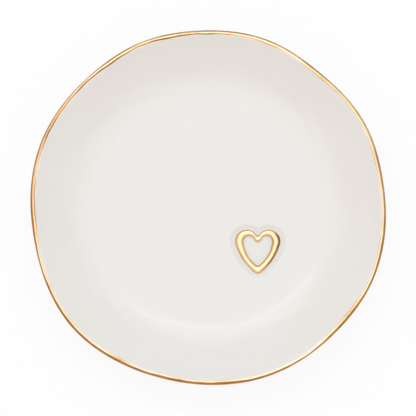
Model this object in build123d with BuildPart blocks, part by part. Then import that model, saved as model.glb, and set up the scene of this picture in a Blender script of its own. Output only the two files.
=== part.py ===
from build123d import *
import math
import os

# A hand-formed ring dish, made the way a potter makes it. A slab pressed into a shallow bowl
# has a foot ring joined under it and a raised open heart pressed onto its floor, and the lip
# and the heart are gilded. Millimetres, +Z up, with the dish standing on Z = 0.

# Bowl
rim_radius = 50.0
dish_height = 17.5
wall_run = 18.5
base_thickness = 3.2
bend_radius = 9.0
lip_radius = 0.8
lip_flat = 0.5

# The rim as it was bent by hand: azimuth in degrees, and radius as a share of rim_radius
rim_shares = [
    (10, 0.996),
    (28, 1.003),
    (50, 0.9875),
    (70, 1.003),
    (93, 0.999),
    (114, 1.005),
    (130, 0.998),
    (157, 1.010),
    (195, 0.996),
    (220, 1.018),
    (240, 1.003),
    (263, 0.993),
    (290, 1.0055),
    (315, 1.003),
    (332, 1.012),
    (352, 1.006),
]

# Foot ring, set in from the edge of the well
foot_height = 1.8
foot_inset = 2.5
foot_width = 2.6
foot_slope = 0.5

# Raised heart, measured over the clay. It lies at heart_azimuth, in degrees, with its middle
# heart_inset in from the edge of the well.
heart_azimuth = -41.6
heart_inset = 12.4
heart_width = 13.0
heart_height = 12.9
side_stroke = 2.4
crown_stroke = 1.7
point_stroke = 2.4
relief_height = 1.0
relief_slope = 0.1
relief_round = 0.4
tip_round = 1.2
counter_round = 0.7

# The radii of its lobes and clefts as shares of their outline's width, and the angle in
# degrees through which each side turns between its lobe and the point
heart_lobe_share = 0.256
heart_cleft_share = 0.034
heart_side_angle = 38
counter_lobe_share = 0.2
counter_cleft_share = 0.115
counter_side_angle = 50

# The shallow field pressed into the floor around the heart, with a rounder cleft
field_margin = 1.4
field_depth = 0.4
field_slope = 0.35
field_cleft_share = 0.15

# Gilding
gilding_thickness = 0.15
gilding_drop = 1.2

# Number of bands that make up each curved surface
bend_count = 3
wall_count = 2
outer_lip_count = 3
inner_lip_count = 1
relief_count = 1

well_radius = rim_radius - wall_run
foot_radius = well_radius - foot_inset
floor_height = foot_height + base_thickness
field_height = floor_height - field_depth
crest_radius = rim_radius - lip_radius
gilding_low = dish_height - gilding_drop
crest_edge = crest_radius - lip_flat / 2
bend_centre = Vector(well_radius, floor_height + bend_radius)
lip_rise = math.sqrt(lip_radius**2 - (lip_flat / 2) ** 2)
lip_centre = Vector(crest_radius, dish_height - lip_rise)
heart_middle = Vector(well_radius - heart_inset, 0, field_height).rotate(Axis.Z, heart_azimuth)
heart_plane = Plane(heart_middle)
heart_top = heart_height / 2
heart_outline = (
    heart_width,
    heart_top,
    -heart_top,
    heart_lobe_share,
    heart_cleft_share,
    heart_side_angle,
    tip_round,
)
field_outline = (
    heart_width,
    heart_top,
    -heart_top,
    heart_lobe_share,
    field_cleft_share,
    heart_side_angle,
    tip_round,
)
counter_outline = (
    heart_width - 2 * side_stroke,
    heart_top - crown_stroke,
    point_stroke - heart_top,
    counter_lobe_share,
    counter_cleft_share,
    counter_side_angle,
    counter_round,
)


def rim_line(radius):
    """The bent outline at a middle radius. It is round at the well and fully bent at the rim."""
    bend_share = (radius - well_radius) / (rim_radius - well_radius)
    points = []
    for azimuth, rim_share in rim_shares:
        bent_radius = radius * (1 + bend_share * (rim_share - 1))
        points.append(Vector(bent_radius, 0).rotate(Axis.Z, azimuth))
    azimuths = [azimuth for azimuth, rim_share in rim_shares]
    return Edge.make_spline(points, periodic=True, parameters=azimuths + [azimuths[0] + 360])


def arc_stations(centre, radius, start, end, count):
    """Points, as radius and height, that divide an arc of the wall's profile into count bands."""
    step = (end - start) / count
    return [centre + Vector(radius, 0).rotate(Axis.Z, start + step * k) for k in range(count + 1)]


def side_stations(bend, lip, side):
    """One side of the wall from floor to lip, with the straight wall tangent to both its arcs.

    side is 1 for the outside, where both arcs lie behind the wall, and -1 for the inside.
    """
    across = lip_centre - bend_centre
    lean = math.degrees(math.acos((bend - side * lip) / across.length))
    normal = math.degrees(math.atan2(across.Y, across.X)) - lean
    crest = 90 - side * math.degrees(math.asin(lip_flat / 2 / lip))
    curve = arc_stations(bend_centre, bend, -90, normal, bend_count)
    if side > 0:
        edge = arc_stations(lip_centre, lip, normal, crest, outer_lip_count)
    else:
        edge = arc_stations(lip_centre, lip, normal + 180, crest, inner_lip_count)
    run = (edge[0] - curve[-1]) / wall_count
    wall = [curve[-1] + run * k for k in range(1, wall_count)]
    return curve + wall + edge


def bowl_form(stations):
    """The solid that the bent outlines at these radii and heights enclose."""
    with BuildPart() as form:
        for station in stations:
            with BuildSketch(Plane.XY.offset(station.Y)):
                with BuildLine():
                    add(rim_line(station.X))
                make_face()
        loft(ruled=True)
    return form.part


def outer_form(skin):
    """All that lies within the outside of the bowl, with that surface moved out by skin."""
    return bowl_form(side_stations(bend_radius + base_thickness + skin, lip_radius + skin, 1))


def heart_face(width, top, point, lobe_share, cleft_share, side_angle, tip_round, inset):
    """A heart from top down to point, with a round cleft, and its whole line moved in by inset."""
    lobe_radius = lobe_share * width
    cleft_radius = cleft_share * width
    lobe_centre = Vector(width / 2 - lobe_radius, top - lobe_radius)
    cleft_rise = math.sqrt((lobe_radius + cleft_radius) ** 2 - lobe_centre.X**2)
    meeting = -math.degrees(math.atan2(cleft_rise, lobe_centre.X))
    # The side is an arc that leaves the lobe smoothly and turns by side_angle to the point
    side_turn = math.radians(side_angle)
    fall = Vector(0, point) - lobe_centre
    chord_square = (fall.dot(fall) - lobe_radius**2) / (2 - 2 * math.cos(side_turn))
    side_radius = lobe_radius / 2 + math.sqrt(lobe_radius**2 / 4 + chord_square)
    drop = Vector(side_radius, 0).rotate(Axis.Z, -side_angle) + Vector(lobe_radius - side_radius, 0)
    lobe_end = math.degrees(math.atan2(fall.Y, fall.X) - math.atan2(drop.Y, drop.X))
    side_centre = lobe_centre + Vector(lobe_radius - side_radius, 0).rotate(Axis.Z, lobe_end)
    tip = (0, side_centre.Y - math.sqrt((side_radius - inset) ** 2 - side_centre.X**2))
    with BuildSketch() as heart:
        with BuildLine():
            CenterArc((0, lobe_centre.Y + cleft_rise), cleft_radius + inset, -90, 90 + meeting)
            lobe_turn = lobe_end - 180 - meeting
            lobe = CenterArc(lobe_centre, lobe_radius - inset, 180 + meeting, lobe_turn)
            TangentArc(lobe @ 1, tip, tangent=lobe % 1)
            mirror(about=Plane.YZ)
        make_face()
        fillet(heart.vertices().sort_by(Axis.Y)[0], radius=tip_round - inset)
    return heart.sketch


def relief_levels():
    """Heights over the field and insets of the relief's side and of its rounded edge."""
    levels = [(0, 0)]
    for k in range(relief_count + 1):
        turn = math.radians(90 * k / relief_count)
        height = relief_height - relief_round * (1 - math.sin(turn))
        levels.append((height, relief_slope + relief_round * (1 - math.cos(turn))))
    return levels


def heart_form(outline, skin, side):
    """The relief inside one outline. side is 1 for the heart itself and -1 for its counter."""
    with BuildPart() as form:
        for height, inset in relief_levels():
            lift = skin if height > 0 else 0
            with BuildSketch(heart_plane.offset(height + lift)):
                add(heart_face(*outline, side * (inset - skin)))
        loft(ruled=True)
    return form.part


def heart_relief(skin):
    """The raised open heart, with each of its surfaces but the seat moved out by skin."""
    with BuildPart() as relief:
        add(heart_form(heart_outline, skin, 1))
        add(heart_form(counter_outline, skin, -1), mode=Mode.SUBTRACT)
    return relief.part


# Body of the dish, with the field pressed into its floor
with BuildPart() as dish_body:
    add(outer_form(0))
    add(bowl_form(side_stations(bend_radius, lip_radius, -1)), mode=Mode.SUBTRACT)
    for rise, margin in [(0, field_margin - field_slope), (field_depth, field_margin)]:
        with BuildSketch(heart_plane.offset(rise)):
            add(heart_face(*field_outline, -margin))
    loft(ruled=True, mode=Mode.SUBTRACT)

# Foot ring, joined under the body
with BuildPart() as foot_ring:
    with BuildSketch(Plane.XZ):
        with BuildLine():
            Polyline(
                (foot_radius - foot_width, foot_height),
                (foot_radius - foot_width + foot_slope, 0),
                (foot_radius - foot_slope, 0),
                (foot_radius, foot_height),
                close=True,
            )
        make_face()
    revolve(axis=Axis.Z)

# Raised heart, seated on the pressed field
with BuildPart() as heart_sprig:
    add(heart_relief(0))

# Gilding over the lip, from outside it to the inner edge of its crest
with BuildPart() as rim_gilding:
    add(outer_form(gilding_thickness))
    split(bisect_by=Plane.XY.offset(gilding_low), keep=Keep.TOP)
    edge_low = Vector(crest_edge, gilding_low)
    edge_top = Vector(crest_edge, dish_height + lip_radius)
    add(bowl_form([edge_low, edge_top]), mode=Mode.SUBTRACT)
    add(outer_form(0), mode=Mode.SUBTRACT)

# Gilding over the heart, down to the field
with BuildPart() as heart_gilding:
    add(heart_relief(gilding_thickness))
    add(heart_relief(0), mode=Mode.SUBTRACT)

dish_body.part.label = "dish_body"
foot_ring.part.label = "foot_ring"
heart_sprig.part.label = "heart_sprig"
rim_gilding.part.label = "rim_gilding"
heart_gilding.part.label = "heart_gilding"

os.makedirs("parts", exist_ok=True)
export_step(dish_body.part, "parts/dish_body.step")
export_step(foot_ring.part, "parts/foot_ring.step")
export_step(heart_sprig.part, "parts/heart_sprig.step")
export_step(rim_gilding.part, "parts/rim_gilding.step")
export_step(heart_gilding.part, "parts/heart_gilding.step")
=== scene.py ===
import math

import bpy
import numpy as np
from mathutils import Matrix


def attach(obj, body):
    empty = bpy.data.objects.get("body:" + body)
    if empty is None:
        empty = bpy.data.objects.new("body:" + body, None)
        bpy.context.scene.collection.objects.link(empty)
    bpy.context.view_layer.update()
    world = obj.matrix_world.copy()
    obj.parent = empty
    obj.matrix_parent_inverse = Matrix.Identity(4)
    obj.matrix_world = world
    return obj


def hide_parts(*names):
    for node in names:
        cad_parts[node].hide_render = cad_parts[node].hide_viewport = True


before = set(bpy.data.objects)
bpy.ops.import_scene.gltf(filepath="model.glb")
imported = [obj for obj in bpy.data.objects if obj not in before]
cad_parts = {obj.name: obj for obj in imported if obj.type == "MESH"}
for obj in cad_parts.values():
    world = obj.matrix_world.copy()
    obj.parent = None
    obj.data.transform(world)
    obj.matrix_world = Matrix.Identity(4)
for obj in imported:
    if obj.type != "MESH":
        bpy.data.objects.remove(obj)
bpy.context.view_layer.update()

# A hand-formed ring dish in glazed white clay, gilded along its lip and on the raised heart in
# its bowl. Metres, +Z up, standing on Z = 0.

# Bowl
rim_radius = 0.050
dish_height = 0.0175
wall_run = 0.0185
base_thickness = 0.0032
bend_radius = 0.009
lip_radius = 0.0008

# Inside, the floor turns up earlier and more gently than outside, and the wall goes on curving
inner_bend_start = 0.0305
inner_bend_radius = 0.015
inner_wall_radius = 0.045

# The rim as it was bent by hand: azimuth in degrees, and radius as a share of rim_radius
rim_shares = [
    (10, 0.996),
    (28, 1.003),
    (50, 0.9875),
    (70, 1.003),
    (93, 0.999),
    (114, 1.005),
    (130, 0.998),
    (157, 1.010),
    (195, 0.996),
    (220, 1.018),
    (240, 1.003),
    (263, 0.993),
    (290, 1.0055),
    (315, 1.003),
    (332, 1.012),
    (352, 1.006),
]

# Unevenness that the maker's hands left. The lip dips and sways a little, the wall has shallow
# presses, which slant by so many radians from the well to the lip, and the base has faint rings.
lip_dip = 0.00022
lip_sway = 0.00014
press_depth = 0.0001
press_slant = 1
fine_press_share = 0.6
fine_press_slant = -2
turning_depth = 0.00002
turning_pitch = 0.0021

# Foot ring, set in from the edge of the well. Its fillets stop a few degrees short of lying
# flat on the base, and its hidden top is sunk into the base.
foot_height = 0.0018
foot_inset = 0.0025
foot_width = 0.0026
foot_slope = 0.0005
foot_round = 0.0004
foot_fillet = 0.0006
fillet_end_angle = 5
foot_sink = 0.00018

# Height on the foot's sides where the glaze stops
glaze_line = 0.00055
glaze_line_wander = 0.00008
glaze_line_blur = 0.0012

# Raised heart, measured over the clay. It lies at heart_azimuth, in degrees.
heart_azimuth = -41.6
heart_inset = 0.0124
heart_width = 0.013
heart_height = 0.0129
side_stroke = 0.0024
crown_stroke = 0.0017
point_stroke = 0.0024
relief_height = 0.001
tip_round = 0.0012
counter_round = 0.0007
heart_lobe_share = 0.256
heart_cleft_share = 0.034
heart_side_angle = 38
counter_lobe_share = 0.2
counter_cleft_share = 0.115
counter_side_angle = 50

# Powers that shape the relief's rounded section, fuller than a half ellipse where under 1
dome_width_power = 0.9
dome_height_power = 0.75

# The skirt of glaze around the relief: how far each row lies outside the stroke, as a share of
# the stroke's width, and how high, as a share of relief_height. Its underside lies lower still.
skirt_shares = [(0.18, -0.02), (0.09, 0.05), (0.027, 0.16)]
underside_share = -0.12

# The shallow field pressed into the floor around the heart, with a faint ridge around it
field_margin = 0.0014
field_depth = 0.0004
field_reach = 0.0098
field_ridge = 0.00004
counter_rise = 0.00016

# Where these start or lie and how wide they are, as shares of field_margin
press_start_share = 0.36
press_width_share = 0.84
ridge_place_share = 1.25
ridge_width_share = 0.45
rise_width_share = 1.6

# Gilding. It stands gold_lift over the glaze, with its underside gold_sink inside that, and
# thins out over taper_share of its width at each edge. On the heart it starts at an angle of
# the rounded section, in radians.
gold_lift = 0.00004
gold_sink = 0.00003
taper_share = 0.125
gold_inside = 0.00033
gold_drop = 0.0012
gold_wander = 0.00012
brush_wander = 0.00018
heart_gold_start = 0.16
heart_gold_wander = 0.07

# Each wander is a sum of waves: how many there are of each round the dish or the heart, and
# the seed of their phases and strengths
lip_dip_waves = ((2, 3, 5, 7), 3)
lip_sway_waves = ((4, 7, 11, 16), 5)
press_waves = ((3, 5, 8), 11)
fine_press_waves = ((9, 13, 17), 12)
inner_edge_waves = ((7, 11, 19, 31, 53), 21)
outer_edge_waves = ((5, 9, 17, 29, 47), 22)
brush_waves = ((5, 8, 13, 21), 23)
heart_start_waves = ((5, 9, 14, 23), 31)
heart_end_waves = ((6, 10, 17, 26), 32)
glaze_line_waves = ((3, 7, 13, 29), 41)
weakest_wave_share = 0.5
wave_scale = 1.05

# Mesh steps, and numbers of points or bands
floor_step = 0.00028
plain_step = 0.001
wall_step = 0.0008
turned_step = 0.0007
foot_step = 0.0004
fine_step = 0.00012
azimuth_count = 480
cleft_count = 10
lobe_count = 70
side_count = 70
tip_count = 12
relief_count = 24
lip_gold_count = 22
heart_gold_count = 24

well_radius = rim_radius - wall_run
foot_radius = well_radius - foot_inset
floor_height = foot_height + base_thickness
field_height = floor_height - field_depth
crest_radius = rim_radius - lip_radius
lip_level = dish_height - lip_radius
lip_centre = np.array([crest_radius, lip_level])
heart_reach = well_radius - heart_inset
heart_way_round = 4 * heart_height
quarter = math.pi / 2
azimuths = np.arange(azimuth_count) * (2 * math.pi / azimuth_count)


# Curves

def periodic_curve(places, values):
    """A smooth closed curve through values at places, in degrees, as a function of the azimuth."""
    places = np.array(places, float)
    values = np.array(values, float)
    gaps = np.diff(np.append(places, places[0] + 360))
    steps = np.diff(np.append(values, values[0])) / gaps
    count = len(places)
    system = np.zeros((count, count))
    for k in range(count):
        system[k, k - 1] = 1 / gaps[k - 1]
        system[k, k] = 2 / gaps[k - 1] + 2 / gaps[k]
        system[k, (k + 1) % count] = 1 / gaps[k]
    slopes = np.linalg.solve(system, 3 * (np.roll(steps / gaps, 1) + steps / gaps))

    def curve(turn):
        turn = (np.degrees(turn) - places[0]) % 360 + places[0]
        k = np.searchsorted(places, turn, side="right") - 1
        share = (turn - places[k]) / gaps[k]
        after = (k + 1) % count
        return (
            values[k] * (2 * share**3 - 3 * share**2 + 1)
            + values[after] * (3 * share**2 - 2 * share**3)
            + slopes[k] * gaps[k] * share * (share - 1) ** 2
            + slopes[after] * gaps[k] * share**2 * (share - 1)
        )

    return curve


def waves(turn, wave_set):
    """A smooth periodic wander between about -1 and 1, from a few sine waves of random phase."""
    counts, seed = wave_set
    chance = np.random.default_rng(seed)
    total = np.zeros_like(turn)
    for count in counts:
        phase = chance.uniform(0, 2 * math.pi)
        strength = chance.uniform(weakest_wave_share, 1)
        total = total + np.sin(count * turn + phase) * strength
    return total / (wave_scale * math.sqrt(len(counts)))


def ease(value):
    """0 below 0 and 1 above 1, with a smooth step between."""
    value = np.clip(value, 0, 1)
    return value * value * (3 - 2 * value)


def direction(turn):
    """The unit vector at an angle in radians."""
    return np.array([math.cos(turn), math.sin(turn)])


def turn_of(way):
    """The angle of a direction, in radians."""
    return math.atan2(way[1], way[0])


def arc(centre, radius, start, end, step):
    """Points along an arc of the profile, as radius and height, with its angles in radians."""
    count = max(2, round(abs(end - start) * radius / step))
    turns = np.linspace(start, end, count + 1)
    return [(centre[0] + radius * math.cos(t), centre[1] + radius * math.sin(t)) for t in turns]


def run(start, end, step):
    """Points along a straight run of the profile, without its two ends."""
    across = end[0] - start[0]
    rise = end[1] - start[1]
    count = max(1, round(math.hypot(across, rise) / step))
    return [(start[0] + across * k / count, start[1] + rise * k / count) for k in range(1, count)]


def ring(radius, height):
    """Points round all azimuths. The radius and the height may be one number or one for each."""
    across = radius * np.cos(azimuths)
    along = radius * np.sin(azimuths)
    return np.stack(np.broadcast_arrays(across, along, height), axis=-1)


# Bowl

def outer_side():
    """The outside from its bend over a straight wall to the crest of the lip."""
    bend = bend_radius + base_thickness
    bend_centre = np.array([well_radius, foot_height + bend])
    across = lip_centre - bend_centre
    normal = turn_of(across) - math.acos((bend - lip_radius) / math.hypot(*across))
    curve = arc(bend_centre, bend, -quarter, normal, wall_step)
    edge = arc(lip_centre, lip_radius, normal, quarter, fine_step)
    return curve + run(curve[-1], edge[0], wall_step) + edge


def inner_side():
    """The inside from its bend over a hollow wall to the crest of the lip, all of it tangent."""
    bend_centre = np.array([inner_bend_start, floor_height + inner_bend_radius])
    # The wall's arc touches the bend's from outside and the lip's from across
    from_bend = inner_wall_radius - inner_bend_radius
    from_lip = inner_wall_radius + lip_radius
    across = lip_centre - bend_centre
    span = math.hypot(*across)
    corner = math.acos((from_bend**2 + span**2 - from_lip**2) / (2 * from_bend * span))
    wall_centre = bend_centre + from_bend * direction(turn_of(across) + corner)
    wall_start = turn_of(bend_centre - wall_centre)
    wall_end = turn_of(lip_centre - wall_centre)
    curve = arc(bend_centre, inner_bend_radius, -quarter, wall_start, wall_step)
    wall = arc(wall_centre, inner_wall_radius, wall_start, wall_end, wall_step)
    edge = arc(lip_centre, lip_radius, wall_end + math.pi, quarter, fine_step)
    return curve + wall[1:-1] + edge


def bowl_profile():
    """The bowl from the middle of its floor over the lip to the middle of its base.

    With it comes the number of its points that belong to the inside.
    """
    bend = inner_side()
    outside = outer_side()
    # The floor's rows lie close together only where the heart's field needs them
    near = (heart_reach - field_reach, floor_height)
    far = (heart_reach + field_reach, floor_height)
    inside = run((0, floor_height), near, plain_step) + [near]
    inside += run(near, far, floor_step) + [far] + run(far, bend[0], plain_step) + bend
    base = run(outside[0], (0, foot_height), turned_step)
    # The crest's point is the last of both sides and is taken once
    return inside + outside[-2::-1] + base, len(inside)


rim_bend = periodic_curve(*zip(*rim_shares))(azimuths)
lip_falls = lip_dip * (0.5 + 0.5 * waves(azimuths, lip_dip_waves))
lip_sways = lip_sway * waves(azimuths, lip_sway_waves)


def bent(radius, height):
    """Points of the hand-bent bowl at a radius and height of its profile, round all azimuths."""
    lip_share = np.clip((height - lip_level) / lip_radius, 0, 1)
    radius = radius + lip_share * lip_sways
    bend_share = np.maximum(0, (radius - well_radius) / wall_run)
    bent_radius = radius * (1 + bend_share * (rim_bend - 1))
    return ring(bent_radius, height - lip_falls * bend_share**2)


def presses(points):
    """Heights of the shallow presses on the wall, which fade towards the well and the lip."""
    turn = np.arctan2(points[:, 1], points[:, 0])
    radius = np.hypot(points[:, 0], points[:, 1])
    share = np.clip((radius - well_radius) / wall_run, 0, 1)
    broad = waves(turn + press_slant * share, press_waves)
    fine = waves(turn + fine_press_slant * share, fine_press_waves)
    return press_depth * np.sin(math.pi * share) ** 2 * (broad + fine_press_share * fine)


# Heart outlines

def sweep(centre, radius, start, end, count):
    """Points along an arc in the plan, from start up to but not at end."""
    turns = start + (end - start) * np.arange(count) / count
    return centre + radius * np.stack([np.cos(turns), np.sin(turns)], axis=1)


def heart_side(width, top, point, lobe_share, cleft_share, side_angle, tip):
    """The right half of a heart, from its cleft to its point."""
    lobe_radius = lobe_share * width
    cleft_radius = cleft_share * width
    lobe = np.array([width / 2 - lobe_radius, top - lobe_radius])
    cleft_rise = math.sqrt((lobe_radius + cleft_radius) ** 2 - lobe[0] ** 2)
    cleft = np.array([0, lobe[1] + cleft_rise])
    meeting = turn_of((lobe[0], cleft_rise))
    # The side is an arc that leaves the lobe smoothly and turns by side_angle to the point
    side_turn = math.radians(side_angle)
    fall = np.array([0, point]) - lobe
    chord_square = (fall @ fall - lobe_radius**2) / (2 - 2 * math.cos(side_turn))
    side_radius = lobe_radius / 2 + math.sqrt(lobe_radius**2 / 4 + chord_square)
    drop = side_radius * direction(-side_turn) + [lobe_radius - side_radius, 0]
    lobe_end = turn_of(fall) - turn_of(drop)
    side = lobe + (lobe_radius - side_radius) * direction(lobe_end)
    # The round tip's centre lies on the axis, tip in from the side's arc
    tip_centre = np.array([0, side[1] - math.sqrt((side_radius - tip) ** 2 - side[0] ** 2)])
    tip_start = turn_of(tip_centre - side)
    arcs = [
        sweep(cleft, cleft_radius, -quarter, -meeting, cleft_count),
        sweep(lobe, lobe_radius, math.pi - meeting, lobe_end, lobe_count),
        sweep(side, side_radius, lobe_end, tip_start, side_count),
        sweep(tip_centre, tip, tip_start, -quarter, tip_count),
    ]
    return np.concatenate(arcs)


def heart_outline(*sizes):
    """All of a heart, clockwise from its cleft, with the left half mirrored from the right."""
    right = heart_side(*sizes)
    # The lowest point carries on the tip's last step
    bottom = np.array([[0, 2 * right[-1, 1] - right[-2, 1]]])
    left = right[:0:-1] * [-1, 1]
    middle = heart_reach * direction(math.radians(heart_azimuth))
    return np.concatenate([right, bottom, left]) + middle


heart_top = heart_height / 2
heart_line = heart_outline(
    heart_width,
    heart_top,
    -heart_top,
    heart_lobe_share,
    heart_cleft_share,
    heart_side_angle,
    tip_round,
)
counter_line = heart_outline(
    heart_width - 2 * side_stroke,
    heart_top - crown_stroke,
    point_stroke - heart_top,
    counter_lobe_share,
    counter_cleft_share,
    counter_side_angle,
    counter_round,
)


def distance_in(points, line):
    """How far points in the plan lie inside a closed line, negative outside it."""
    nearest = np.full(len(points), np.inf)
    inside = np.zeros(len(points), bool)
    for start, end in zip(line, np.roll(line, -1, axis=0)):
        edge = end - start
        share = np.clip(((points - start) @ edge) / (edge @ edge), 0, 1)
        gap = points - start - share[:, None] * edge
        nearest = np.minimum(nearest, np.hypot(gap[:, 0], gap[:, 1]))
        if edge[1] != 0:
            spans = (start[1] > points[:, 1]) != (end[1] > points[:, 1])
            crossing = start[0] + edge[0] * (points[:, 1] - start[1]) / edge[1]
            inside ^= spans & (points[:, 0] < crossing)
    return np.where(inside, nearest, -nearest)


def field_fall(points):
    """How far the floor lies below its level around and inside the heart."""
    away = -distance_in(points, heart_line) / field_margin
    deep = distance_in(points, counter_line) / field_margin
    press = field_depth * (1 - ease((away - press_start_share) / press_width_share))
    ridge = field_ridge * np.exp(-(((away - ridge_place_share) / ridge_width_share) ** 2))
    rise = counter_rise * ease(deep / rise_width_share)
    return press - ridge - rise


# Meshes

def new_piece(name, points, faces, material, node):
    """A smooth mesh object that stands for a node."""
    mesh = bpy.data.meshes.new(name)
    mesh.from_pydata(points.reshape(-1, 3).tolist(), [], faces)
    mesh.update()
    mesh.shade_smooth()
    mesh.materials.append(material)
    piece = bpy.data.objects.new(name, mesh)
    bpy.context.scene.collection.objects.link(piece)
    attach(piece, "root")
    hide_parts(node)
    return piece


def add_values(piece, name, values):
    """Stores one number per point for the piece's material."""
    layer = piece.data.attributes.new(name, "FLOAT", "POINT")
    layer.data.foreach_set("value", np.asarray(values, np.float32).ravel())


def band_faces(row_count, column_count, closed_rows):
    """Quads between rows of points that go round, counted column by column."""
    faces = []
    for row in range(row_count if closed_rows else row_count - 1):
        here = row * column_count
        below = (row + 1) % row_count * column_count
        for column in range(column_count):
            after = (column + 1) % column_count
            faces.append((here + column, below + column, below + after, here + after))
    return faces


def add_stroke_map(piece, column_count, length, across):
    """A map of the way along and across a band, in metres, for brush marks.

    It breaks between the last column and the first, where the brush stopped.
    """
    values = []
    for polygon in piece.data.polygons:
        corners = [divmod(vertex, column_count) for vertex in polygon.vertices]
        at_break = {0, column_count - 1} <= {column for row, column in corners}
        for row, column in corners:
            if at_break and column == 0:
                column = column_count
            values.append((length * column / column_count, across[row]))
    layer = piece.data.uv_layers.new(name="stroke")
    layer.data.foreach_set("uv", np.ravel(values))


# Material nodes

def new_material(name):
    """A material, with its nodes, its links and its shader."""
    material = bpy.data.materials.new(name)
    material.use_nodes = True
    nodes = material.node_tree.nodes
    return material, nodes, material.node_tree.links, nodes["Principled BSDF"]


def fill(links, socket, value):
    """Gives a socket a number or a colour, or links another socket to it."""
    if isinstance(value, bpy.types.NodeSocket):
        links.new(value, socket)
    elif isinstance(value, tuple):
        socket.default_value = (*value, 1)
    else:
        socket.default_value = value


def object_place(nodes):
    """The place on the object, in metres."""
    return nodes.new("ShaderNodeTexCoord").outputs["Object"]


def attribute(nodes, name):
    """A number that the mesh stores per point."""
    node = nodes.new("ShaderNodeAttribute")
    node.attribute_name = name
    return node.outputs["Fac"]


def noise(nodes, links, vector, scale, detail):
    """A noise texture's value."""
    texture = nodes.new("ShaderNodeTexNoise")
    texture.inputs["Scale"].default_value = scale
    texture.inputs["Detail"].default_value = detail
    links.new(vector, texture.inputs["Vector"])
    return texture.outputs["Fac"]


def ramp(nodes, links, value, stops):
    """Colours, or greys, along a value."""
    node = nodes.new("ShaderNodeValToRGB")
    elements = node.color_ramp.elements
    while len(elements) < len(stops):
        # Its own place is set below
        elements.new(0.5)
    for element, (place, colour) in zip(elements, stops):
        element.position = place
        element.color = (*colour, 1) if isinstance(colour, tuple) else (colour, colour, colour, 1)
    links.new(value, node.inputs["Fac"])
    return node.outputs["Color"]


def worked_out(nodes, links, operation, *values):
    """The result of a Math node. Each value may be a number or a socket."""
    node = nodes.new("ShaderNodeMath")
    node.operation = operation
    for socket, value in zip(node.inputs, values):
        fill(links, socket, value)
    return node.outputs[0]


def mixed(nodes, links, share, first, second, blend="MIX"):
    """Two colours blended by a share. Each of the three may be a value or a socket."""
    node = nodes.new("ShaderNodeMix")
    node.data_type = "RGBA"
    node.blend_type = blend
    factor = next(s for s in node.inputs if s.name == "Factor" and s.type == "VALUE")
    colours = [s for s in node.inputs if s.type == "RGBA"]
    for socket, value in zip([factor, *colours], (share, first, second)):
        fill(links, socket, value)
    return next(s for s in node.outputs if s.type == "RGBA")


def bump(nodes, links, height, strength, depth, normal=None):
    """A bumped normal, over another one where that is given."""
    node = nodes.new("ShaderNodeBump")
    node.inputs["Strength"].default_value = strength
    node.inputs["Distance"].default_value = depth
    links.new(height, node.inputs["Height"])
    if normal:
        links.new(normal, node.inputs["Normal"])
    return node.outputs["Normal"]


# White glaze. A pattern is a noise scale and detail, a bump is a strength and a depth, and
# stops are places along a pattern with the colour or grey at each.
glaze_white = (0.844, 0.836, 0.791)
glaze_thick = (0.788, 0.793, 0.748)
glaze_thin = (0.848, 0.824, 0.773)
glaze_cloud_pattern = (45, 3)
glaze_haze_pattern = (160, 2)
glaze_peel_pattern = (520, 1)
glaze_swell_pattern = (90, 1)
glaze_cloud_stops = [(0.35, 0.0), (0.7, 0.5)]
glaze_roughness_stops = [(0.3, 0.16), (0.75, 0.24)]
glaze_peel_bump = (0.05, 0.0001)
glaze_swell_bump = (0.12, 0.0004)
glaze_refraction = 1.45

# The glaze pooled in the well, out to pool_edge, and around the foot of the relief
pool_edge = 0.041
pool_blur = 0.0135
low_relief_share = 0.3
low_relief_pool_share = 0.8
high_relief_pool_share = 0.2


def glaze_material():
    """White glaze, a touch cooler where it pooled and warmer where it ran thin."""
    material, nodes, links, shader = new_material("white_glaze")
    place = object_place(nodes)
    cloud = noise(nodes, links, place, *glaze_cloud_pattern)
    haze = noise(nodes, links, place, *glaze_haze_pattern)
    peel = noise(nodes, links, place, *glaze_peel_pattern)
    swell = noise(nodes, links, place, *glaze_swell_pattern)
    cloud_share = ramp(nodes, links, cloud, glaze_cloud_stops)
    colour = mixed(nodes, links, cloud_share, glaze_white, glaze_thin)
    colour = mixed(nodes, links, attribute(nodes, "pool"), colour, glaze_thick)
    soft = bump(nodes, links, swell, *glaze_swell_bump)
    links.new(colour, shader.inputs["Base Color"])
    links.new(ramp(nodes, links, haze, glaze_roughness_stops), shader.inputs["Roughness"])
    links.new(bump(nodes, links, peel, *glaze_peel_bump, soft), shader.inputs["Normal"])
    shader.inputs["IOR"].default_value = glaze_refraction
    return material


# Gold lustre. Its brush marks are stretched along the stroke. Its colour follows the number that
# the mesh gives, which holds how thin the gold is together with painted shade and painted
# reflection, and a share of the patches, lessened to fit the stops.
gold_bright = (0.95, 0.76, 0.48)
gold_warm = (0.91, 0.59, 0.26)
gold_deep = (0.68, 0.34, 0.12)
gold_thin_and_shaded = (0.27, 0.13, 0.055)
gold_stops = [(0.20, gold_bright), (0.42, gold_warm), (0.66, gold_deep), (0.95, gold_thin_and_shaded)]
gold_roughness_stops = [(0.3, 0.16), (0.7, 0.26)]
gold_mark_stretch = (260, 4200, 1)
gold_mark_pattern = (1, 2)
gold_patch_pattern = (330, 3)
gold_mark_bump = (0.25, 0.00003)
gold_patch_bump = (0.08, 0.00004)
gold_patch_share = 0.5
gold_thin_and_shade_share = 0.72


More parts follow.
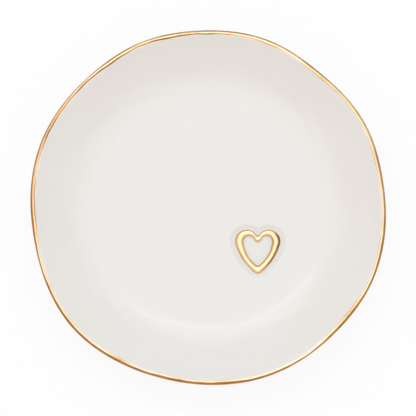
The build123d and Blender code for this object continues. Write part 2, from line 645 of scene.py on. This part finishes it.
def gold_material():
    """Fired gold: bright on the crest, redder and then brown where the brush left it thin, and also
    where painted shade and painted reflection darken it.
    """
    material, nodes, links, shader = new_material("gold_lustre")
    stroke = nodes.new("ShaderNodeUVMap")
    stroke.uv_map = "stroke"
    stretch = nodes.new("ShaderNodeMapping")
    stretch.inputs["Scale"].default_value = gold_mark_stretch
    links.new(stroke.outputs["UV"], stretch.inputs["Vector"])
    marks = noise(nodes, links, stretch.outputs["Vector"], *gold_mark_pattern)
    patches = noise(nodes, links, object_place(nodes), *gold_patch_pattern)
    # The mesh's edge number holds painted shade and painted reflection together with how thin the
    # gold is
    edge = attribute(nodes, "edge")
    thin = worked_out(nodes, links, "MULTIPLY_ADD", patches, gold_patch_share, edge)
    thin = worked_out(nodes, links, "MULTIPLY", thin, gold_thin_and_shade_share)
    fine = bump(nodes, links, marks, *gold_mark_bump)
    links.new(ramp(nodes, links, thin, gold_stops), shader.inputs["Base Color"])
    links.new(ramp(nodes, links, marks, gold_roughness_stops), shader.inputs["Roughness"])
    links.new(bump(nodes, links, patches, *gold_patch_bump, fine), shader.inputs["Normal"])
    shader.inputs["Metallic"].default_value = 1
    return material


# Bare clay. The stops of the line and of the cover are over the number that the mesh gives:
# a half where the glaze stops, less below that and more above it.
clay_pale = (0.76, 0.70, 0.62)
clay_warm = (0.66, 0.56, 0.45)
clay_cloud_pattern = (220, 3)
clay_grain_pattern = (5200, 2)
clay_cloud_stops = [(0.35, 0.0), (0.7, 0.6)]
clay_line_stops = [(0.30, 0.0), (0.48, 1.0), (0.56, 0.0)]
clay_cover_stops = [(0.48, 0.0), (0.56, 1.0)]
clay_roughness_stops = [(0.0, 0.75), (1.0, 0.09)]
clay_grain_bump = (0.35, 0.00005)


def clay_material():
    """Bare fired clay, wiped smooth, with glaze down its sides and a warm line where that stops."""
    material, nodes, links, shader = new_material("bare_clay")
    place = object_place(nodes)
    cloud = noise(nodes, links, place, *clay_cloud_pattern)
    grain = noise(nodes, links, place, *clay_grain_pattern)
    glazed = attribute(nodes, "glazed")
    cloud_share = ramp(nodes, links, cloud, clay_cloud_stops)
    line_share = ramp(nodes, links, glazed, clay_line_stops)
    cover_share = ramp(nodes, links, glazed, clay_cover_stops)
    colour = mixed(nodes, links, cloud_share, clay_pale, clay_warm)
    colour = mixed(nodes, links, line_share, colour, clay_warm)
    colour = mixed(nodes, links, cover_share, colour, glaze_white)
    links.new(colour, shader.inputs["Base Color"])
    links.new(ramp(nodes, links, cover_share, clay_roughness_stops), shader.inputs["Roughness"])
    links.new(bump(nodes, links, grain, *clay_grain_bump), shader.inputs["Normal"])
    return material


glaze = glaze_material()
gold = gold_material()
clay = clay_material()


# Glazed bowl

def make_bowl():
    """The bowl, with the field pressed into its floor and faint rings turned into its base."""
    profile, inner_count = bowl_profile()
    rows = [bent(radius, height) for radius, height in profile]
    for k, row in enumerate(rows):
        radius = profile[k][0]
        if k < inner_count and radius < well_radius:
            row[:, 2] -= field_fall(row[:, :2])
        elif k >= inner_count and radius < foot_radius - foot_width:
            row[:, 2] += turning_depth * (1 - math.cos(2 * math.pi * radius / turning_pitch))
        else:
            row[:, 2] += presses(row)
    points = np.concatenate(rows + [np.array([[0, 0, floor_height], [0, 0, foot_height]])])
    faces = band_faces(len(rows), azimuth_count, False)
    floor_middle = len(points) - 2
    base_middle = len(points) - 1
    last = (len(rows) - 1) * azimuth_count
    for column in range(azimuth_count):
        after = (column + 1) % azimuth_count
        faces.append((floor_middle, column, after))
        faces.append((base_middle, last + after, last + column))
    piece = new_piece("glazed_bowl", points, faces, glaze, "dish_body")
    radii = np.hypot(points[:, 0], points[:, 1])
    add_values(piece, "pool", ease((pool_edge - radii) / pool_blur))


# Foot ring

def make_foot():
    """The foot ring, filleted into the base, with a rounded standing edge that is bare."""
    inner_radius = foot_radius - foot_width
    inner_reach = inner_radius - foot_fillet
    outer_reach = foot_radius + foot_fillet
    fillet_level = foot_height - foot_fillet
    inner_edge = inner_radius + foot_slope + foot_round
    outer_edge = foot_radius - foot_slope - foot_round
    lean = math.atan2(foot_slope, foot_height)
    stop = quarter - math.radians(fillet_end_angle)
    outer_fillet = (outer_reach, fillet_level)
    section = arc(outer_fillet, foot_fillet, math.pi - stop, math.pi + lean, fine_step)
    section += arc((outer_edge, foot_round), foot_round, -lean, -quarter, fine_step)
    section += run((outer_edge, 0), (inner_edge, 0), foot_step)
    section += arc((inner_edge, foot_round), foot_round, -quarter, lean - math.pi, fine_step)
    section += arc((inner_reach, fillet_level), foot_fillet, -lean, stop, fine_step)
    for radius in (inner_reach, (inner_radius + foot_radius) / 2, outer_reach):
        section.append((radius, foot_height + foot_sink))
    radii, heights = np.array(section).T[:, :, None]
    points = ring(radii, heights)
    faces = band_faces(*points.shape[:2], True)
    piece = new_piece("clay_foot", points, faces, clay, "foot_ring")
    line = glaze_line + glaze_line_wander * waves(azimuths, glaze_line_waves)
    add_values(piece, "glazed", np.clip(0.5 + (heights - line) / glaze_line_blur, 0, 1))


# Raised heart

def dome(turn):
    """Shares across the stroke and up the relief of its rounded section, for turns from 0 to pi."""
    cosine = np.cos(turn)
    across_shares = (1 - np.copysign(abs(cosine) ** dome_width_power, cosine)) / 2
    return across_shares, np.sin(turn) ** dome_height_power


def relief_points(across_shares, height_shares):
    """Rows of points round the heart, at shares of the way from its outline to its counter."""
    plan = heart_line + (counter_line - heart_line) * across_shares[:, :, None]
    level = field_height + relief_height * height_shares[:, :, None]
    return np.concatenate([plan, np.broadcast_to(level, plan[:, :, :1].shape)], axis=2)


def make_sprig():
    """The raised clay heart, with a skirt of glaze and an underside that lies in the floor."""
    turns = np.linspace(0, math.pi, relief_count + 1)[1:-1]
    across_shares, height_shares = dome(turns)
    out_shares, up_shares = np.transpose(skirt_shares)
    widest = out_shares[0]
    under_across = [1 + widest, 0.5, -widest]
    under_height = [underside_share] * len(under_across)
    across_shares = [-out_shares, across_shares, 1 + out_shares[::-1], under_across]
    across_shares = np.concatenate(across_shares)
    height_shares = np.concatenate([up_shares, height_shares, up_shares[::-1], under_height])
    points = relief_points(across_shares[:, None], height_shares[:, None])
    faces = band_faces(*points.shape[:2], True)
    piece = new_piece("raised_heart", points, faces, glaze, "heart_sprig")
    low = height_shares < low_relief_share
    pool_shares = np.where(low, low_relief_pool_share, high_relief_pool_share)
    add_values(piece, "pool", np.repeat(pool_shares, len(heart_line)))


# Gilding

# Painted shade, painted shadow and painted reflection on the gold, set by the way it faces: the
# azimuth in degrees that each faces, its level, and how far it swings round the dish. They make
# the lip browner on its outer half in front and on its inner half behind, and the heart along
# its lower right edge.
front_mark = (265, 0.75, 0.8333)
low_mark = (247, 0, 1)
left_mark = (165, 0, 1)
behind_mark = (120, -0.7, 2)
shadow_mark = (80, 0.3, 0.7)
dark_reflection_mark = (-24, -0.8, 2.2)

# How brown the painted shade on the lip is, how far a painted glint near its outer edge lightens
# it, and their places across the gold from its inner edge to its outer one
shoulder_shade_share = 0.32
front_shade_share = 0.57
shoulder_start_share = 0.20
low_reach_share = 0.12
left_reach_share = 0.10
shoulder_blur_share = 0.15
glint_start_share = 0.57
painted_glint_share = 0.5
shadow_shade_share = 1.15
shadow_start_share = 0.44
shadow_blur_share = 0.12
outer_start_share = 0.9
outer_blur_share = 0.08
behind_shade_share = 0.9
brush_shade_share = 0.35
inner_end_share = 0.31
inner_blur_share = 0.16

# The same on the heart, from its outline to its counter
flank_shade_share = 0.62
flank_start_share = 0.14
flank_blur_share = 0.56
dark_reflection_end_share = 0.48
dark_reflection_blur_share = 0.2


def mark_shares(mark, ways):
    """How strong a mark is where the gold faces each of these ways, which are unit vectors."""
    azimuth, level, swing = mark
    return np.clip(level + swing * (ways @ direction(math.radians(azimuth))), 0, 1)


def folded(rows):
    """Rows over the top of the gold, and the same again back underneath."""
    return np.concatenate([rows, rows[::-1]])


def skin_lifts(shares):
    """How far the folded rows of the gold stand out of the glaze, for the shares of its top."""
    top = gold_lift * np.minimum(1, np.minimum(shares, 1 - shares) / taper_share)
    return np.concatenate([top, np.full_like(shares, -gold_sink)])


def make_lip_gold():
    """Gold over the lip, with edges that wander as a brush leaves them, and painted shade and
    painted reflection stored for its colour.
    """
    inner_turn = quarter + math.asin(gold_inside / lip_radius)
    outer_turn = -math.asin((gold_drop - lip_radius) / lip_radius)
    brush = waves(azimuths, brush_waves)
    inner_wander = gold_wander * waves(azimuths, inner_edge_waves) + brush_wander * brush
    outer_wander = gold_wander * waves(azimuths, outer_edge_waves)
    inner_edge = inner_turn + inner_wander / lip_radius
    outer_edge = outer_turn + outer_wander / lip_radius
    shares = np.linspace(0, 1, lip_gold_count + 1)[:, None]
    radii = lip_radius + skin_lifts(shares)
    shares = folded(shares)
    turns = inner_edge + (outer_edge - inner_edge) * shares
    points = bent(crest_radius + radii * np.cos(turns), lip_level + radii * np.sin(turns))

    # Painted shade and painted reflection: browner where the lip faces some ways round the dish
    ways = np.stack([np.cos(azimuths), np.sin(azimuths)], axis=1)
    # Painted shade on the outer shoulder, strongest in front and reaching further in low down
    shade = shoulder_shade_share + front_shade_share * ease(mark_shares(front_mark, ways))
    start = shoulder_start_share - low_reach_share * mark_shares(low_mark, ways) ** 2
    start = start + left_reach_share * mark_shares(left_mark, ways) ** 2
    shoulder = shade * ease((shares - start) / shoulder_blur_share)
    # A painted glint that lightens the outermost part of the shoulder
    fall = painted_glint_share * ease((shares - glint_start_share) / shoulder_blur_share)
    # A painted shadow over the outer part, strongest behind
    shadow = shadow_shade_share * mark_shares(shadow_mark, ways)
    shadow = shadow * ease((shares - shadow_start_share) / shadow_blur_share)
    # The outer edge of the gold, browner: partly where the gold runs thin, partly painted shade
    outer = ease((shares - outer_start_share) / outer_blur_share)
    # Painted shade on the inner half behind, with the brush's wander in how thin the gold is
    behind = behind_shade_share * mark_shares(behind_mark, ways) + brush_shade_share * brush
    inner = np.clip(behind, 0, 1) * ease((inner_end_share - shares) / inner_blur_share)
    edge = np.maximum(np.maximum(shoulder - fall + shadow, outer), inner)

    faces = band_faces(*points.shape[:2], True)
    piece = new_piece("lip_gold", points, faces, gold, "rim_gilding")
    add_values(piece, "edge", edge)
    across = shares[:, 0] * lip_radius * (inner_turn - outer_turn)
    add_stroke_map(piece, azimuth_count, 2 * math.pi * rim_radius, across)


def surface_normals(grid):
    """Unit normals of a grid of rows that go round, from each point's neighbours."""
    along = np.roll(grid, -1, axis=1) - np.roll(grid, 1, axis=1)
    over = np.gradient(grid, axis=0)
    normals = np.cross(over, along)
    return normals / np.linalg.norm(normals, axis=2, keepdims=True)


def make_heart_gold():
    """Gold over the raised heart, with painted shade down its flanks, where it also thins at its
    edges, which leaves its ridge pale as a painted highlight, and a painted dark reflection along
    its lower right edge.
    """
    count = len(heart_line)
    around = np.arange(count) * (2 * math.pi / count)
    start = heart_gold_start + heart_gold_wander * waves(around, heart_start_waves)
    end = math.pi - heart_gold_start + heart_gold_wander * waves(around, heart_end_waves)
    shares = np.linspace(0, 1, heart_gold_count + 1)[:, None]
    surface = relief_points(*dome(start + (end - start) * shares))
    lifts = skin_lifts(shares)[:, :, None]
    points = folded(surface) + folded(surface_normals(surface)) * lifts
    shares = folded(shares)

    outward = heart_line - counter_line
    ways = outward / np.linalg.norm(outward, axis=1, keepdims=True)
    # A painted dark reflection along the heart's lower right edge
    dark_reflection = mark_shares(dark_reflection_mark, ways) * ease((dark_reflection_end_share - shares) / dark_reflection_blur_share)
    # Painted shade down both flanks, leaving the ridge pale as a painted highlight
    shaded_flank = np.clip((abs(2 * shares - 1) - flank_start_share) / flank_blur_share, 0, 1)

    faces = band_faces(*points.shape[:2], True)
    piece = new_piece("heart_gold", points, faces, gold, "heart_gilding")
    add_values(piece, "edge", np.maximum(flank_shade_share * shaded_flank, dark_reflection))
    add_stroke_map(piece, count, heart_way_round, shares[:, 0] * side_stroke)


make_bowl()
make_foot()
make_sprig()
make_lip_gold()
make_heart_gold()


# Floor

floor_reach = 6.0
floor_white = (0.95, 0.95, 0.95)
floor_glow_share = 0.78


def seen_share(nodes, links):
    """1 for rays from the camera, or by way of gloss or glass, and 0 for the rest."""
    path = nodes.new("ShaderNodeLightPath")
    seen = path.outputs["Is Camera Ray"]
    for name in ("Is Glossy Ray", "Is Transmission Ray"):
        seen = worked_out(nodes, links, "MAXIMUM", seen, path.outputs[name])
    return seen


def make_floor():
    """A plain floor that shows nearly white and keeps some of the dish's shadow."""
    mesh = bpy.data.meshes.new("floor")
    corners = [(-1, -1), (1, -1), (1, 1), (-1, 1)]
    points = [(x * floor_reach, y * floor_reach, 0) for x, y in corners]
    mesh.from_pydata(points, [], [(0, 1, 2, 3)])
    floor = bpy.data.objects.new("floor", mesh)
    bpy.context.scene.collection.objects.link(floor)
    material = bpy.data.materials.new("floor_white")
    material.use_nodes = True
    nodes = material.node_tree.nodes
    links = material.node_tree.links
    nodes.clear()
    matt = nodes.new("ShaderNodeBsdfDiffuse")
    matt.inputs["Color"].default_value = (*floor_white, 1)
    glow = nodes.new("ShaderNodeEmission")
    glow.inputs["Strength"].default_value = 1
    share = worked_out(nodes, links, "MULTIPLY", seen_share(nodes, links), floor_glow_share)
    mix = nodes.new("ShaderNodeMixShader")
    links.new(share, mix.inputs["Fac"])
    links.new(matt.outputs[0], mix.inputs[1])
    links.new(glow.outputs[0], mix.inputs[2])
    out = nodes.new("ShaderNodeOutputMaterial")
    links.new(mix.outputs[0], out.inputs["Surface"])
    mesh.materials.append(material)


# World

# Light from each height, as the sine of its elevation and a level
sky_stops = [
    (0.0, 1.0),
    (0.08, 1.0),
    (0.14, 0.55),
    (0.28, 0.55),
    (0.50, 0.71),
    (0.78, 0.84),
    (0.86, 0.96),
    (0.95, 1.08),
    (0.985, 1.28),
    (1.0, 1.32),
]

# It is less bright towards rear_azimuth and cooler towards cool_azimuth, in degrees
rear_azimuth = 112
front_light = (1.105, 1.105, 1.105)
rear_light = (0.98, 0.98, 0.98)
cool_azimuth = 50
warm_tint = (1.09, 1.0, 1.01)
cool_tint = (1.005, 1.0, 0.985)
tint_span = 0.8


def share_towards(nodes, links, way, azimuth):
    """How far a direction points to an azimuth, from 0 on the far side to 1 on the near side."""
    across = nodes.new("ShaderNodeVectorMath")
    across.operation = "DOT_PRODUCT"
    links.new(way, across.inputs[0])
    across.inputs[1].default_value = (*direction(math.radians(azimuth)), 0)
    share = nodes.new("ShaderNodeMapRange")
    links.new(across.outputs["Value"], share.inputs["Value"])
    share.inputs["From Min"].default_value = -tint_span
    share.inputs["From Max"].default_value = tint_span
    return share.outputs[0]


def make_world():
    """A white studio, brightest overhead, a little brighter in front and warmer at the left."""
    world = bpy.data.worlds.new("studio")
    bpy.context.scene.world = world
    world.use_nodes = True
    nodes = world.node_tree.nodes
    links = world.node_tree.links
    way = nodes.new("ShaderNodeTexCoord").outputs["Generated"]
    parts = nodes.new("ShaderNodeSeparateXYZ")
    links.new(way, parts.inputs[0])
    level = ramp(nodes, links, parts.outputs["Z"], sky_stops)
    rear_share = share_towards(nodes, links, way, rear_azimuth)
    cool_share = share_towards(nodes, links, way, cool_azimuth)
    light = mixed(nodes, links, rear_share, front_light, rear_light)
    tint = mixed(nodes, links, cool_share, warm_tint, cool_tint)
    colour = mixed(nodes, links, 1, level, light, "MULTIPLY")
    colour = mixed(nodes, links, 1, colour, tint, "MULTIPLY")
    links.new(colour, nodes["Background"].inputs["Color"])
    nodes["Background"].inputs["Strength"].default_value = 1


# Lamps: azimuth and angle from the zenith in degrees, width, depth, and radiance in the
# render's own units
lamps = {
    "key": (100, 24, 1.45, 0.3, 1.5),
    "window": (100, 38, 1.6, 0.8, 0.78),
}
lamp_distance = 1.6
daylight = (0.88, 1.0, 1.17)


def make_lamp(name, azimuth, from_zenith, width, depth, radiance):
    """A soft rectangular lamp that faces the dish."""
    light = bpy.data.lights.new(name, "AREA")
    light.shape = "RECTANGLE"
    light.size = width
    light.size_y = depth
    light.energy = radiance * width * depth * math.pi
    light.color = daylight
    lamp = bpy.data.objects.new(name, light)
    turn = math.radians(azimuth)
    tilt = math.radians(from_zenith)
    across = lamp_distance * math.sin(tilt) * direction(turn)
    lamp.location = (*across, lamp_distance * math.cos(tilt))
    lamp.rotation_euler = (tilt, 0, turn + quarter)
    lamp.visible_camera = False
    bpy.context.scene.collection.objects.link(lamp)


# Camera. The dish is dish_pixels wide on average in a picture photo_side wide.
photo_side = 416
dish_pixels = 356.8
lens = 180.0


def make_camera():
    """Straight above the dish, with a long lens, so that it fills the frame as in the photo."""
    camera_data = bpy.data.cameras.new("camera")
    camera_data.lens = lens
    camera = bpy.data.objects.new("camera", camera_data)
    bpy.context.scene.collection.objects.link(camera)
    mean_width = 2 * rim_radius * rim_bend.mean()
    distance = mean_width * photo_side / dish_pixels * lens / camera_data.sensor_width
    camera.location = (0, 0, dish_height + distance)
    bpy.context.scene.camera = camera


make_floor()
make_world()
for lamp_name, lamp_sizes in lamps.items():
    make_lamp(lamp_name, *lamp_sizes)
make_camera()
bpy.context.scene.view_settings.view_transform = "Standard"
